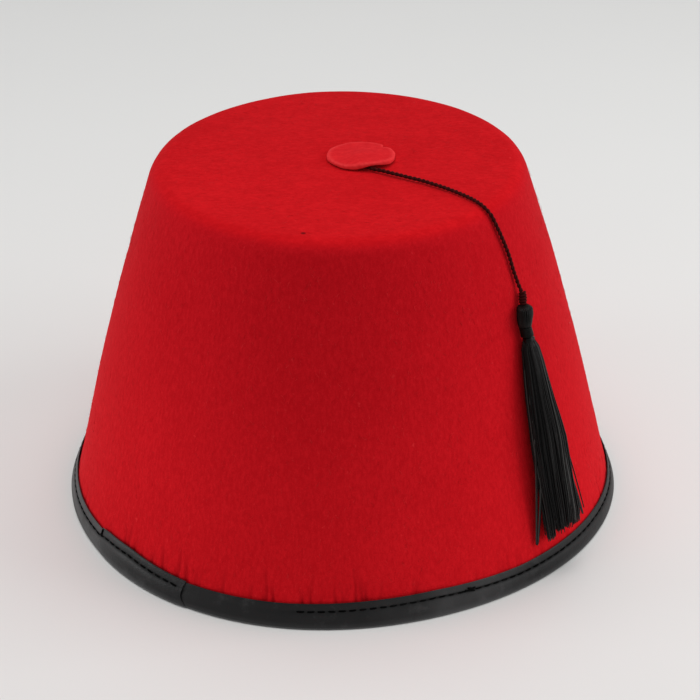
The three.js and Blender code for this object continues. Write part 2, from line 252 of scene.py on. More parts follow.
def on_hat(radius, height, azimuth):
    """Where a point of the mean, round hat lies on the real, uneven one."""
    share = height / CROWN_HEIGHT
    front = 0.5 - 0.5 * np.sin(azimuth)
    rim = (RIM_OVAL * np.cos(2 * (azimuth - RIM_OVAL_TURN))
           + FRONT_THREE_SIDED * front * (np.cos(3 * azimuth) - np.cos(azimuth)))
    crown = CROWN_OVAL * np.cos(2 * (azimuth - CROWN_OVAL_TURN))
    reach = radius + (rim * (1 - share) + crown * share) * np.minimum(1, radius / FLAT_RADIUS)
    return np.stack([reach * np.cos(azimuth) + CROWN_LEAN * share, reach * np.sin(azimuth),
                     height + 0 * azimuth], axis=-1)


def on_side(azimuth, height):
    """A point of the wall, with the level direction along it and the direction out of it."""
    point = on_hat(side_radius(height), height, azimuth)
    level = on_hat(side_radius(height), height, azimuth + SMALL_STEP) - point
    above = height + SMALL_STEP * MM
    up = on_hat(side_radius(above), above, azimuth) - point
    level /= np.linalg.norm(level, axis=-1, keepdims=True)
    up /= np.linalg.norm(up, axis=-1, keepdims=True)
    out = np.cross(level, up)
    return point, level, out / np.linalg.norm(out, axis=-1, keepdims=True)


print("the flat top is", round(2 * FLAT_RADIUS / MM, 1), "mm across")

# %% [markdown]
# ## Rings
# The felt, the tape and the disc are turned shapes. Each starts as one circle that is extruded ring by ring,
# and each new ring is scaled to its radius. Then its points are moved one by one, to bring in dents and
# puckers.

# %% Helpers that turn a profile and move its points
NEARLY_POINT = 0.001
SAME_POINT = 0.001 * MM


def turned(name, profile, steps, closed=False):
    """A ring for each (radius, height) of a profile, extruded one from the other."""
    radius, height = profile[0]
    bpy.ops.object.select_all(action="DESELECT")
    bpy.ops.mesh.primitive_circle_add(vertices=steps, radius=radius, location=(0, 0, height),
                                      enter_editmode=True)
    piece = bpy.context.object
    piece.name = piece.data.name = name
    for next_radius, next_height in profile[1:]:
        bpy.ops.mesh.extrude_region_move(TRANSFORM_OT_translate={"value": (0, 0, next_height - height)})
        grow = next_radius / radius
        bpy.ops.transform.resize(value=(grow, grow, 1), center_override=(0, 0, next_height))
        radius, height = next_radius, next_height
    if closed:
        bpy.ops.mesh.select_all(action="DESELECT")
        bpy.ops.mesh.select_non_manifold()
        bpy.ops.mesh.bridge_edge_loops()
    bpy.ops.object.mode_set(mode="OBJECT")
    bpy.ops.object.transform_apply(location=True, rotation=True, scale=True)
    return piece


def points_of(piece):
    points = np.empty(3 * len(piece.data.vertices))
    piece.data.vertices.foreach_get("co", points)
    return points.reshape(-1, 3)


def move_points(piece, points):
    piece.data.vertices.foreach_set("co", points.ravel())
    piece.data.update()


def faces_outward(piece):
    with editing(piece):
        bpy.ops.mesh.select_all(action="SELECT")
        bpy.ops.mesh.remove_doubles(threshold=SAME_POINT)
        bpy.ops.mesh.normals_make_consistent(inside=False)


def close_ends(piece):
    """One face over each of a turned piece's two open ends."""
    with editing(piece):
        bpy.ops.mesh.select_all(action="DESELECT")
        bpy.ops.mesh.select_non_manifold()
        bpy.ops.mesh.edge_face_add()


def thicken(piece, thickness):
    """Makes a wall inwards from the selected piece's one skin."""
    wall = piece.modifiers.new("wall", "SOLIDIFY")
    wall.thickness = thickness
    wall.offset = -1
    bpy.ops.object.modifier_apply(modifier="wall")


def around(piece):
    """Radius, azimuth and height of each point."""
    x, y, height = points_of(piece).T
    return np.hypot(x, y), np.arctan2(y, x), height


def unevenness(points, size, seed):
    """Soft hills of about one size, from -1 to 1, the same on every run."""
    shift = Vector((seed, 2 * seed, 3 * seed))
    return np.array([noise.noise(Vector(point) / size + shift) for point in points])


# %% [markdown]
# ## The felt crown
# The shell is 2 mm thick. It could be drawn as two skins, but one skin with a Solidify modifier keeps the
# wall the same everywhere. Before that, the wall gets shallow dents and, just above the tape, short upright
# creases where sewing has gathered the felt, the deepest at the front left. All of them go inwards.

# %% The felt's outline, turned
FELT_STEPS = 880
CREASED_HEIGHT = 24 * MM
CREASED_RINGS, PLAIN_RINGS, CORNER_RINGS = 18, 14, 9
TOP_RING_SHARES = (0.93, 0.83, 0.71, 0.58, 0.44, 0.3, 0.17, 0.07, NEARLY_POINT)
TAPE_THICKNESS = 0.7 * MM

felt_heights = np.concatenate([
    np.linspace(TAPE_THICKNESS + GAP, CREASED_HEIGHT, CREASED_RINGS, endpoint=False),
    np.linspace(CREASED_HEIGHT, SIDE_TOP, PLAIN_RINGS, endpoint=False),
])
felt_profile = [(side_radius(height), height) for height in felt_heights]
for angle in np.linspace(CORNER_SLOPE, math.pi / 2, CORNER_RINGS):
    felt_profile.append((FLAT_RADIUS + CORNER_RADIUS * math.cos(angle),
                         CROWN_HEIGHT - CORNER_RADIUS * (1 - math.sin(angle))))
felt_profile += [(FLAT_RADIUS * share, CROWN_HEIGHT) for share in TOP_RING_SHARES]
felt_crown = turned("felt_crown", felt_profile, FELT_STEPS)

with editing(felt_crown):
    bpy.ops.mesh.merge(type="CENTER")

# %% Dents and gathered creases
DENT_DEPTH = 0.35 * MM
BROAD_DENT, SMALL_DENT = 34 * MM, 13 * MM
TAPE_HEIGHT = 9.1 * MM
CREASE_DEPTH = 0.5 * MM
CREASE_DEGREES, CREASE_BEND, CREASE_WAVE = 0.36, 0.25, 3 * MM
CREASE_GROUPS = (
    (22, (-142, -84), (0.55, 1), (4, 13)),
    (90, (-180, 180), (0.15, 0.45), (3, 8)),
)
crease_draw = random.Random(5)
creases = []
for count, *limits in CREASE_GROUPS:
    for _ in range(count):
        creases.append([crease_draw.uniform(*pair) for pair in limits])

radius, azimuth, height = around(felt_crown)
creased = np.zeros(len(radius))
for degrees, strength, reach in creases:
    aside = (azimuth / DEGREE - degrees + 180) % 360 - 180
    bend = CREASE_BEND * np.sin(height / CREASE_WAVE + degrees)
    across = np.exp(-((aside + bend) / CREASE_DEGREES) ** 2)
    fade = np.clip(1 - (height - TAPE_HEIGHT) / (reach * MM), 0, 1) ** 0.7
    creased = np.maximum(creased, strength * across * fade)
write_values(felt_crown, "crease", creased)
points = points_of(felt_crown)
hills = unevenness(points, BROAD_DENT, 2) + 0.5 * unevenness(points, SMALL_DENT, 4)
sunk = CREASE_DEPTH * creased + DENT_DEPTH * np.clip(0.5 + hills, 0, 1)
wall_share = np.clip((radius - 0.8 * FLAT_RADIUS) / (0.3 * FLAT_RADIUS), 0, 1)
move_points(felt_crown, on_hat(radius - sunk * wall_share, height - sunk * (1 - wall_share), azimuth))

faces_outward(felt_crown)
thicken(felt_crown, FELT_WALL)
bpy.ops.object.shade_smooth()
print("felt:", len(felt_crown.data.polygons), "faces, dents up to", round(sunk.max() / MM, 2), "mm")

# %% [markdown]
# ## The bound rim
# A strip of thin black leatherette is folded over the felt's edge and sewn through, 2.7 mm below its upper
# edge. The seam pulls the tape into a groove, and the tape puffs a little between the stitches. It is turned
# as a closed section, and its upper edge is then raised and lowered by azimuth, as on the real one. Two more
# tables say, by azimuth, how plainly the seam shows and how much painted sheen lightens the tape.

# %% The tape's section, turned
TAPE_STEPS = 900
TAPE_INSIDE_HEIGHT = 8 * MM
EDGE_ROUND = 0.6 * MM
SEAM_DROP = 2.7 * MM
LEVEL_WALL = 1.03 * FELT_WALL
HUG = 0.3 * MM
FACE_RINGS = MM * np.array([1.4, 2.4, 3.5, 4.6, 5.3, 5.8, 6.1, 6.4, 6.7, 7.0, 7.5, 8.1, 8.6])
BACK_RINGS = MM * np.array([6, 3, 0.7])
SMOOTH_BELOW = 40 * DEGREE
TAPE_EDGE = np.array([
    (-180, 0.76), (-165, 0.79), (-158, 0.84), (-152, 0.89), (-121, 0.94), (-104, 0.95), (-83, 1.03),
    (-70, 1.05), (-50, 0.91), (-24, 0.88), (-10, 0.8), (10, 0.8), (50, 0.95), (130, 0.95), (180, 0.76),
])


def inner_wall(height):
    return side_radius(height) - LEVEL_WALL


def tape_outside(height):
    """How far the tape's face stands off the felt: the sewn edge hugs it."""
    return GAP + TAPE_THICKNESS - HUG * np.clip((height - SEAM_DROP - 2.5 * MM) / (3 * MM), 0, 1)


def tape_profile():
    inside = GAP + TAPE_THICKNESS
    outside = tape_outside(0)
    profile = [(inner_wall(height) - inside, height)
               for height in np.linspace(TAPE_INSIDE_HEIGHT, EDGE_ROUND, 4)]
    for start, side, angles in ((inner_wall(0) - inside, 1, (30, 60, 90)),
                                (side_radius(0) + outside, -1, (90, 60, 30, 0))):
        for angle in angles:
            drop = EDGE_ROUND * (1 - math.cos(angle * DEGREE))
            profile.append((start + side * drop, EDGE_ROUND * (1 - math.sin(angle * DEGREE))))
    profile += [(side_radius(height) + tape_outside(height), height) for height in FACE_RINGS]
    top = TAPE_HEIGHT
    profile += [(side_radius(top) + tape_outside(top) - 0.08 * MM, top - 0.12 * MM),
                (side_radius(top) + GAP + 0.22 * MM, top),
                (side_radius(top) + GAP + 0.08 * MM, top - 0.2 * MM)]
    profile += [(side_radius(height) + GAP, height) for height in BACK_RINGS]
    return profile + [(inner_wall(height) - GAP, height) for height in (TAPE_THICKNESS, TAPE_INSIDE_HEIGHT)]


rim_tape = turned("rim_tape", tape_profile(), TAPE_STEPS, closed=True)
faces_outward(rim_tape)
print("tape:", len(tape_profile()), "points round its section")

# %% Groove, puffs and the uneven edge
GROOVE_DEPTH = 0.45 * MM
STITCH_PITCH = 3.6 * MM
PUFF = 0.07 * MM
LOWER_BULGE = 0.22 * MM
GROOVE_REACH, SEAM_REACH = 0.5 * MM, 0.55 * MM
SEAM_SHOWS = np.array([
    (-180, 1), (-130, 0.9), (-122, 0.12), (-103, 0.1), (-99, 0.5), (-84, 0.5), (-72, 0.95), (-50, 1),
    (180, 1),
])
# Painted sheen: how much the tape's colour is lightened at each azimuth, standing for light reflected off it.
PAINTED_SHEEN = np.array([
    (-180, 1), (-153, 1), (-147, 0.25), (-138, 0), (-113, 0.04), (-86, 0.06), (-78, 0.18), (-68, 0.45),
    (-55, 0.36), (-46, 0), (150, 0), (180, 1),
])
stitch_count = round(TURN * (RIM_RADIUS + RIM_FLARE) / STITCH_PITCH)


def by_azimuth(azimuth, table):
    """The value in a table of azimuths in degrees and values."""
    return np.interp(azimuth / DEGREE, table[:, 0], table[:, 1])


def tape_relief(azimuth, height, top):
    """How far the tape's face lies out of its plain section, with its seam, puffs and small wrinkles."""
    below = top - height
    shows = by_azimuth(azimuth, SEAM_SHOWS)
    seam = np.exp(-((below - SEAM_DROP) / GROOVE_REACH) ** 2)
    between = 0.5 - 0.5 * np.cos(stitch_count * azimuth)
    upper = np.clip(1 - np.abs(below - 0.45 * SEAM_DROP) / (0.6 * SEAM_DROP), 0, 1)
    lower = np.exp(-((below - 2 * SEAM_DROP) / (1.6 * MM)) ** 2)
    slow = 0.5 + 0.5 * np.sin(9 * azimuth) * np.sin(23 * azimuth + 1)
    return (shows * (-GROOVE_DEPTH * seam * (1 - 0.25 * between) + PUFF * between * upper)
            + LOWER_BULGE * (0.6 + 0.4 * slow) * lower)


def shape_tape(piece, table, lift=0):
    """Gives tape its upper edge, its relief and the values that its material reads."""
    radius, azimuth, height = around(piece)
    outer = radius > side_radius(height) + 0.5 * GAP
    top = TAPE_HEIGHT * by_azimuth(azimuth, table)
    stretched = EDGE_ROUND + (height - EDGE_ROUND) * (top - EDGE_ROUND) / (TAPE_HEIGHT - EDGE_ROUND)
    new_height = np.where(outer & (height > EDGE_ROUND), stretched, height)
    face = np.clip((radius - side_radius(height) - GAP) / TAPE_THICKNESS, 0, 1)
    relief = np.where(outer, face * (tape_relief(azimuth, new_height, top) + lift), 0)
    new_radius = radius - side_radius(height) + side_radius(new_height) + relief
    move_points(piece, on_hat(new_radius, new_height, azimuth))
    # The seam's values darken the tape's colour in its groove, as painted shade.
    from_seam = (top - new_height - SEAM_DROP) / SEAM_REACH
    write_values(piece, "seam", outer * by_azimuth(azimuth, SEAM_SHOWS) * np.exp(-from_seam ** 2))
    write_values(piece, "painted_sheen", by_azimuth(azimuth, PAINTED_SHEEN))


# %% [markdown]
# ## The lap
# The tape's two ends meet at the front left, where one runs on over the other. It is made as it lies: the
# faces of the tape's outside are picked out between the two ends, copied and pushed out. The lap's upper edge
# climbs higher than the tape under it, its start sinks into that tape, and its cut end is bowed and stands
# off a little.

# %% The lap, copied from the tape
LAP_START, LAP_END = -149.5 * DEGREE, -123.1 * DEGREE
LAP_EDGE = np.array([
    (-180, 1), (-149.5, 1), (-147, 1.07), (-139, 1.15), (-130, 1.05), (-121, 0.98), (180, 0.98),
])
LAP_LIFT, END_LIFT, LAP_THICKNESS = 0.5 * MM, 0.2 * MM, 0.45 * MM
LAP_CURVE, LAP_FOOT = 0.75 * DEGREE, 1.2 * DEGREE
END_REACH, START_REACH, SINKING_REACH = 0.8 * DEGREE, 1.2 * DEGREE, 6 * DEGREE

mesh = bmesh.new()
mesh.from_mesh(rim_tape.data)
for face in mesh.faces:
    middle = face.calc_center_median()
    azimuth = math.atan2(middle.y, middle.x)
    across = math.hypot(middle.x, middle.y) - side_radius(middle.z)
    face.select = LAP_START < azimuth < LAP_END and across > 0.75 * TAPE_THICKNESS
mesh.to_mesh(rim_tape.data)
mesh.free()
with editing(rim_tape):
    bpy.ops.mesh.duplicate()
    bpy.ops.mesh.separate(type="SELECTED")
tape_lap = next(piece for piece in bpy.context.selected_objects if piece != rim_tape)
tape_lap.name = tape_lap.data.name = "tape_lap"

shape_tape(rim_tape, TAPE_EDGE)
select_only(rim_tape)
bpy.ops.object.shade_smooth_by_angle(angle=SMOOTH_BELOW)

radius, azimuth, height = around(tape_lap)
near_end = np.exp(-(LAP_END - azimuth) / END_REACH)
near_start = np.exp(-(azimuth - LAP_START) / START_REACH)
sinking = np.exp(-(azimuth - LAP_START) / SINKING_REACH)
high = np.clip((height - 2 * MM) / (5 * MM), 0, 1)
bow = LAP_CURVE * np.sin(math.pi * np.clip(height / TAPE_HEIGHT, 0, 1))
foot = LAP_FOOT * np.clip(1 - height / (3.5 * MM), 0, 1) ** 1.5
curved = azimuth + near_end * (foot - bow)
move_points(tape_lap, np.column_stack([radius * np.cos(curved), radius * np.sin(curved), height]))
proud = LAP_LIFT * (1 - (sinking + 0.5 * near_end) * (1 - high)) + END_LIFT * high * (near_end + near_start)
shape_tape(tape_lap, LAP_EDGE, lift=proud)
select_only(tape_lap)
thicken(tape_lap, LAP_THICKNESS)
bpy.ops.object.shade_smooth_by_angle(angle=SMOOTH_BELOW)
print("lap:", round((LAP_END - LAP_START) / DEGREE), "degrees of the rim")

# %% [markdown]
# ## The stitches
# Each stitch is a short piece of black thread that lies in the groove and dives into the tape at both ends.
# The rim isn't round, so an array of copies wouldn't fit, and each stitch gets its own short line on the
# tape's surface. A table adds an upright stitch where the lap starts and a small tangle at the right. Each
# row has the azimuths of two ends, their depths in shares of the seam's, and whether it lies on the lap.

# %% Stitches in the groove
STITCH_RADIUS, LAP_STITCH_RADIUS = 0.32 * MM, 0.34 * MM
HALF_STITCH = 0.43
STITCH_SLANT = 0.12 * MM
STITCH_SHARES = np.linspace(-1, 1, 7)
STITCH_RISE, EXTRA_RISE = MM * (0.06 - 0.5 * STITCH_SHARES[:, None] ** 4), 0.1 * MM
SEAM_HIDES = 0.35
EXTRA_STITCHES = (
    (-149.1, -149.1, 0, 1.1, True), (-63.8, -61.2, 1.05, 0.7, False), (-63.6, -61.4, 0.85, 1.15, False),
    (-63, -61.8, 0.6, 0.8, False),
)


def tape_face(azimuth, below, lapped):
    """Points on the tape's outside, at a distance below its upper edge, and the direction out of it."""
    table = LAP_EDGE if lapped else TAPE_EDGE
    top = TAPE_HEIGHT * by_azimuth(azimuth, table)
    height = top - below
    relief = tape_relief(azimuth, height, top) + (LAP_LIFT if lapped else 0)
    point = on_hat(side_radius(height) + tape_outside(height) + relief, height, azimuth)
    return point, on_side(azimuth, height)[2]


stitch_lines, lap_lines = [], []
stitch_draw = random.Random(8)
for number in range(stitch_count):
    middle = -math.pi + TURN * (number + 0.5) / stitch_count
    if by_azimuth(middle, SEAM_SHOWS) < SEAM_HIDES:
        continue
    half = HALF_STITCH * TURN / stitch_count * stitch_draw.uniform(0.9, 1.05)
    slant = STITCH_SLANT * stitch_draw.uniform(-1, 1)
    lapped = LAP_START < middle < LAP_END
    point, out = tape_face(middle + STITCH_SHARES * half, SEAM_DROP + slant * STITCH_SHARES, lapped)
    (lap_lines if lapped else stitch_lines).append(point + out * STITCH_RISE)
for first, last, below_first, below_last, lapped in EXTRA_STITCHES:
    azimuth = np.linspace(first, last, len(STITCH_SHARES)) * DEGREE
    below = SEAM_DROP * np.linspace(below_first, below_last, len(STITCH_SHARES))
    point, out = tape_face(azimuth, below, lapped)
    lap_lines.append(point + out * EXTRA_RISE)
rim_stitches = threads("rim_stitches", stitch_lines, STITCH_RADIUS, thin_ends=0.7)
lap_stitches = threads("lap_stitches", lap_lines, LAP_STITCH_RADIUS, thin_ends=0.7, seed=5)
print(len(stitch_lines), "stitches and", len(lap_lines), "thicker ones")

# %% [markdown]
# ## The disc
# A round patch of the same felt, cut by hand, covers the hole that the cord comes out of. It lies flat except
# over the cord, which lifts its front edge. It is turned as a flat section, then its edge is made uneven, a
# small nick is cut at the back right, and the ridge over the cord is raised. Its points also say how frayed
# they are, which makes the edge paler.

# %% The disc, turned and lifted
DISC_RADIUS, DISC_DEPTH_RADIUS = 11.7 * MM, 10.7 * MM
DISC_THICKNESS = 1.2 * MM
DISC_CENTRE = np.array((7, 0.6)) * MM
DISC_SPREAD, DISC_SPREAD_RIGHT = 2.4 * MM, 6 * MM
DISC_RIDGE = 1.05 * CORD_DIAMETER
NICK_AZIMUTH, NICK_WIDTH, NICK_DEPTH = 40 * DEGREE, 5 * DEGREE, 2.1 * MM
EDGE_WAVE, EDGE_NOTCHES, FUZZ = 0.22 * MM, 0.05 * MM, 0.06 * MM
HIDDEN_CORD = 16 * MM
UNDER_SHARES = (NEARLY_POINT, 0.3, 0.6, 0.85, 0.955)
OVER_SHARES = (0.9, 0.83, 0.75, 0.66, 0.57, 0.48, 0.39, 0.3, 0.2, 0.1, NEARLY_POINT)
DISC_STEPS = 180

disc_section = [(share * DISC_RADIUS, 0) for share in UNDER_SHARES]
disc_section += [(DISC_RADIUS - 0.12 * MM, 0.12 * MM), (DISC_RADIUS, 0.4 * MM), (DISC_RADIUS, 0.8 * MM),
                 (DISC_RADIUS - 0.15 * MM, 1.05 * MM), (0.955 * DISC_RADIUS, DISC_THICKNESS)]
disc_section += [(share * DISC_RADIUS, DISC_THICKNESS) for share in OVER_SHARES]
top_patch = turned("top_patch", disc_section, DISC_STEPS)
close_ends(top_patch)

radius, azimuth, height = around(top_patch)
rim_share = (radius / DISC_RADIUS) ** 4
edge = EDGE_WAVE * np.sin(5 * azimuth + 1) * np.sin(3 * azimuth) + EDGE_NOTCHES * np.sin(17 * azimuth)
turn_away = (azimuth - NICK_AZIMUTH + math.pi) % TURN - math.pi
nick = NICK_DEPTH * np.exp(-(turn_away / NICK_WIDTH) ** 2)
fluffy = 0.8 + 0.5 * unevenness(points_of(top_patch), 0.8 * MM, 11)
frayed = np.clip((radius / DISC_RADIUS - 0.86) / 0.1, 0, 1) * fluffy
write_values(top_patch, "frayed", np.clip(frayed, 0, 1))
radius = radius + rim_share * (edge - nick)
x = DISC_CENTRE[0] + radius * np.cos(azimuth)
y = DISC_CENTRE[1] + radius * np.sin(azimuth) * DISC_DEPTH_RADIUS / DISC_RADIUS
hidden = cord_line[:int(len(cord_line) * HIDDEN_CORD / cord_length)]
distances = np.hypot(x[:, None] - hidden[:, 0], y[:, None] - hidden[:, 1])
nearest = np.min(distances, axis=1)
rightward = (x - hidden[np.argmin(distances, axis=1), 0]) / np.maximum(nearest, 0.01 * MM)
spread = DISC_SPREAD + (DISC_SPREAD_RIGHT - DISC_SPREAD) * (0.5 + 0.5 * rightward)
under = DISC_RIDGE * np.exp(-((nearest / spread) ** 2))
over = DISC_RIDGE * np.exp(-((nearest / (spread + DISC_SPREAD)) ** 2))
lifted = under + (over - under) * height / DISC_THICKNESS
fuzz = FUZZ * unevenness(np.column_stack([x, y, height]), 2.5 * MM, 7) * (height > DISC_THICKNESS / 2)
move_points(top_patch, np.column_stack([x, y, CROWN_HEIGHT + GAP + height + lifted + fuzz]))
faces_outward(top_patch)
bpy.ops.object.shade_smooth()
print("disc top at", round(points_of(top_patch)[:, 2].max() / MM, 2), "mm")

# %% [markdown]
# ## The tassel's shape
# The tassel hangs from the knot and lies on the wall. Its outline is a table: at each share of its length,
# how many degrees its middle has turned round the hat, and its half width and half depth. Every thread, the
# wound neck and the inner core read the same table, so they always fit together.

# %% The tassel's outline
TASSEL_LENGTH = 84 * MM
TASSEL_TOP = CORD_POINTS[-1, 2] - 4.9 * MM
TASSEL_AZIMUTH = -38.1 * DEGREE
SKIRT_HALF_WIDTH, SKIRT_HALF_DEPTH = 9 * MM, 4.4 * MM
WRAP_THICKNESS = 0.5 * MM
HEAD_END, NECK_START, NECK_END, SKIRT_START = 0.076, 0.08, 0.116, 0.161
TASSEL_ROWS = np.array([
    (0, 1.6, 0.2, 0.35), (0.004, 1.5, 0.27, 0.5), (0.012, 1.3, 0.31, 0.62), (0.03, 0.9, 0.3, 0.66),
    (0.055, 0.4, 0.26, 0.62), (0.076, 0.4, 0.22, 0.54), (0.08, 0.4, 0.125, 0.36), (0.116, 0.6, 0.13, 0.36),
    (0.126, 0.5, 0.3, 0.48), (0.161, 0.6, 0.38, 0.57), (0.208, 0.3, 0.43, 0.68), (0.294, -0.5, 0.51, 0.84),
    (0.367, -0.8, 0.58, 0.93), (0.47, -0.7, 0.71, 1), (0.55, -0.4, 0.82, 0.97), (0.683, -0.3, 0.86, 0.92),
    (0.82, 0.1, 0.9, 0.86), (0.87, 0.4, 0.94, 0.8), (1, 0.5, 0.93, 0.7),
])


def tassel_at(down):
    """The tassel's middle at a share of its length, its directions and its half sizes."""
    turn, wide, deep = (np.interp(down, TASSEL_ROWS[:, 0], TASSEL_ROWS[:, column]) for column in (1, 2, 3))
    point, level, out = on_side(TASSEL_AZIMUTH + turn * DEGREE, TASSEL_TOP - down * TASSEL_LENGTH)
    wrapped = np.where((down >= HEAD_END) & (down <= SKIRT_START), GAP + WRAP_THICKNESS, 0)
    half_depth = SKIRT_HALF_DEPTH * deep
    middle = point + out * (1.5 * GAP + wrapped + half_depth)[..., None]
    return middle, level, out, SKIRT_HALF_WIDTH * wide, half_depth


def in_tassel(down, angle, reach, inset):
    """Points round the tassel's middle, at a share of the way to its outline."""
    middle, level, out, half_width, half_depth = tassel_at(down)
    across, over = reach * np.cos(angle), reach * np.sin(angle)
    return (middle + level * ((half_width - inset) * across)[..., None]
            + out * ((half_depth - inset) * over)[..., None])


# %% [markdown]
# ## The tassel's core and threads
# A real tassel is one bundle of silky threads, folded over the cord and tied at the neck. A few hundred
# threads make the outside, and a solid core closes the holes between them. It starts as a circle that is
# extruded along the table, and each of its rings is then set at its place.

# %% The core
CORE_SIDES = 24
HEAD_INSET, SKIRT_INSET, INSET_CHANGE = 0.4 * MM, 0.9 * MM, 0.13
core_downs = np.concatenate([np.linspace(0.002, 0.155, 18), np.linspace(0.19, 0.88, 14)])
core_rings = [(1 * MM, down * TASSEL_LENGTH) for down in core_downs]
tassel_core = turned("tassel_core", core_rings, CORE_SIDES)
radius, azimuth, height = around(tassel_core)
down = height / TASSEL_LENGTH
inset = np.where(down < INSET_CHANGE, HEAD_INSET, SKIRT_INSET)
move_points(tassel_core, in_tassel(down, azimuth, 1, inset))
close_ends(tassel_core)
faces_outward(tassel_core)
bpy.ops.object.shade_smooth()

# %% The head's threads
HEAD_THREAD_RADIUS = 0.32 * MM
HEAD_THREADS = 32
head_downs = np.concatenate([[0, 0, 0, 0], np.linspace(0.002, 0.016, 5), np.linspace(0.022, 0.082, 9)])
head_shares = np.concatenate([[0.08, 0.4, 0.7, 0.92], np.ones(14)])
head_lines = []
for number in range(HEAD_THREADS):
    angle = TURN * (number + 0.5) / HEAD_THREADS
    bend = angle + 0.05 * np.sin(60 * head_downs + number)
    head_lines.append(in_tassel(head_downs, bend, head_shares, HEAD_THREAD_RADIUS * head_shares))
tassel_head = threads("tassel_head", head_lines, HEAD_THREAD_RADIUS, seed=2)

# %% The thread wound round the neck
WRAP_THREAD_RADIUS = 0.26 * MM
WRAP_TURNS = 7
wrap_angle = np.linspace(0, TURN * WRAP_TURNS, 24 * WRAP_TURNS)
wrap_down = np.linspace(NECK_START - 0.0005, NECK_END + 0.002, len(wrap_angle))
grow = GAP + WRAP_THICKNESS - WRAP_THREAD_RADIUS
wrap_line = in_tassel(wrap_down, wrap_angle, 1, -grow)
neck_winding = threads("neck_winding", [wrap_line], WRAP_THREAD_RADIUS, sides=ROUND_SIDES)

# %% The skirt's threads, most of them in locks
SKIRT_LOCKS = 30
THREADS_IN_LOCK = 11
FREE_THREADS = 72
SKIRT_THREAD_RADIUS = 0.22 * MM
STRAND_POINTS = 16
SKIRT_ROOT, LONGEST_END, END_SLANT = 0.113, 0.975, 0.04
vary = random.Random(21).uniform


def skirt_line(place, depth, drift, swing, shorter):
    """One thread of the skirt from the neck to its cut end, the outside ones being shorter."""
    end = LONGEST_END - 0.5 * END_SLANT * (1 + math.sin(place + drift)) - shorter
    downs = np.linspace(SKIRT_ROOT, end, STRAND_POINTS)
    share = (downs - downs[0]) / (1 - downs[0])
    angle = place + drift * share + 0.07 * share * np.sin(6 * share + swing)
    flare = 0.07 * math.sin(9 * swing) * share**5
    spread = depth * (1 + 0.05 * share * np.sin(5 * share + swing) + flare)
    line = in_tassel(downs, angle, spread, SKIRT_THREAD_RADIUS)
    return line + tassel_at(downs)[1] * (0.25 * MM * share * np.sin(7 * share + swing))[:, None]


skirt_lines = []
for number in range(SKIRT_LOCKS):
    lock_place = TURN * (number + vary(-0.2, 0.2)) / SKIRT_LOCKS
    lock_drift, lock_swing = vary(-0.16, 0.16), vary(0, TURN)
    lock_depth, lock_shorter = vary(0.93, 1.02), vary(-0.006, 0.014)
    for _ in range(THREADS_IN_LOCK):
        skirt_lines.append(skirt_line(
            lock_place + vary(-0.1, 0.1), lock_depth * vary(0.88, 1), lock_drift + vary(-0.03, 0.03),
            lock_swing, lock_shorter + vary(-0.008, 0.01)))
for _ in range(FREE_THREADS):
    skirt_lines.append(skirt_line(vary(0, TURN), vary(0.99, 1.06), vary(-0.7, 0.7), vary(0, TURN),
                                  vary(-0.014, 0.03)))
tassel_skirt = threads("tassel_skirt", skirt_lines, SKIRT_THREAD_RADIUS, sides=5, thin_ends=0.7, seed=3)
print("skirt:", len(skirt_lines), "threads")

# %% [markdown]
# ## Stray threads
# A few threads have left the bundle: two pairs at its left side, and four threads at its right. Each has a
# row in a table: the shares of the tassel's length and half width where it leaves the skirt, the azimuth and
# height of its end on the wall, and how far it bows off the wall, in degrees and mm.

# %% Threads that hang apart
STRAY_RADIUS, STRAY_LIFT, END_OFF_WALL = 0.25 * MM, 0.3 * MM, 0.7 * MM
STRAYS = (
    (0.52, -1.03, -44.7, 12.9, 0.2), (0.55, -1.03, -44.5, 12.5, 0.3), (0.67, -0.97, -44.35, 12.4, 0.25),
    (0.7, -0.95, -44.1, 12.7, 0.2), (0.46, 1.04, -27.2, 12.9, 0.2), (0.7, 0.97, -28.0, 11.2, 0.3),
    (0.74, 0.94, -28.4, 11.6, 0.2), (0.73, 0.95, -28.2, 11.4, 0.35),
)


def stray_line(down, across, degrees, height, bow):
    start = in_tassel(np.linspace(0.2, down, 5), 0, across, SKIRT_THREAD_RADIUS)
    point, _, out = on_side(np.array(degrees * DEGREE), np.array(height * MM))
    end = point + out * END_OFF_WALL
    share = np.linspace(0, 1, 9)[1:, None]
    straight = start[-1] + (end - start[-1]) * share
    return np.vstack([start, straight + out * (bow * MM * np.sin(math.pi * share) + STRAY_LIFT)])


stray_lines = [stray_line(*row) for row in STRAYS]
stray_threads = threads("stray_threads", stray_lines, STRAY_RADIUS, thin_ends=0.8, seed=4)

# %% [markdown]
# ## The knot
# Between the cord and the tassel's head sits a small tight knot of the same cord, shaped like a barrel. It
# is the cord's end wound round itself, so one thread is wound in close turns, and another runs through it.

# %% The knot on the tassel's head
KNOT_WIDTH = 2.9 * MM
KNOT_THREAD = 0.46 * MM
KNOT_TURNS = 4.5
KNOT_ASIDE = 0.7 * MM
cord_end = CORD_POINTS[-1]
head_top, head_level = tassel_at(np.array(0.0))[:2]
knot_axis = (head_top - cord_end) / np.linalg.norm(head_top - cord_end)
share = np.linspace(0, 1, 110)[:, None]
reach = (KNOT_WIDTH / 2 - KNOT_THREAD) * (0.72 + 0.28 * np.sin(math.pi * share) ** 0.6)
along = cord_end + (0.12 + 0.86 * share) * (head_top - cord_end) + KNOT_ASIDE * head_level
knot_line = wound(along, KNOT_TURNS, reach, 1, 0)
through = np.linspace(cord_end - 0.2 * MM * knot_axis, head_top + 0.6 * MM * knot_axis, len(knot_line))
cord_knot = threads("cord_knot", [knot_line, through], KNOT_THREAD, sides=ROUND_SIDES, seed=6)

# %% [markdown]
# ## Loose fibres
# Short fibres stick to pressed felt, most of them along its nap: upright on the wall and from left to right
# on the top. Bump alone can't stand off the outline, so thousands of fine threads are scattered over the
# surface from a fixed seed.

